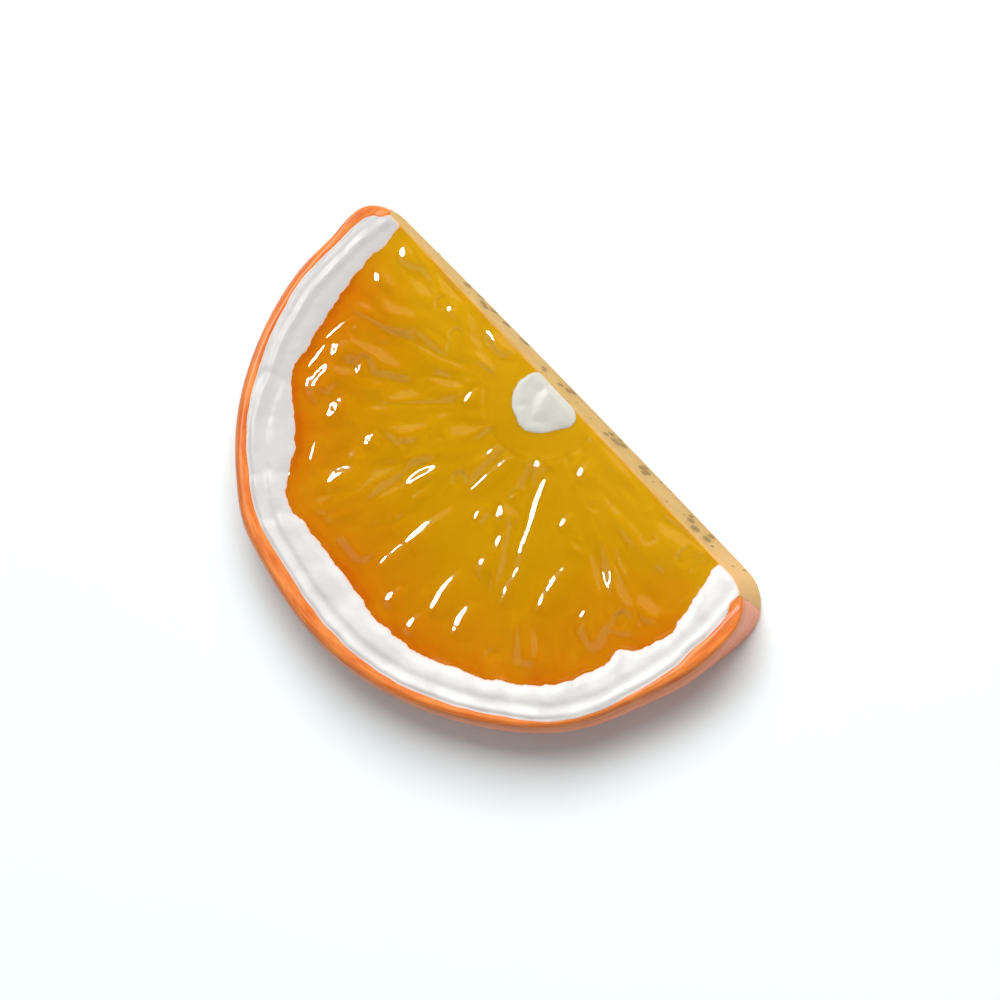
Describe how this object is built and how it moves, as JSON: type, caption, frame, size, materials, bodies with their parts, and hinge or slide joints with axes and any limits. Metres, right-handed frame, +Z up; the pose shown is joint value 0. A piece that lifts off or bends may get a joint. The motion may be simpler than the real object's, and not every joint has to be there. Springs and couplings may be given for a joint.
{
  "type": "imitation orange slice",
  "caption": "Half-round slab of cast resin in the form of an orange slice, with moulded pulp, pith and peel on its face and a flat underside.",
  "frame": {"origin": "centre of the box round the slice, at its underside", "axes": "+X along the straight cut, +Y out through the straight cut, +Z up out of the moulded face"},
  "size_m": [0.0826, 0.0512, 0.012],
  "materials": {
    "resin": "clear amber resin, glossy on the moulded face, matt on the straight cut",
    "pith_paint": "satin white paint",
    "peel_paint": "glossy orange paint, thinner and pinker down the rind"
  },
  "bodies": {
    "root": {"orange_slice": "resin"}
  },
  "joints": []
}
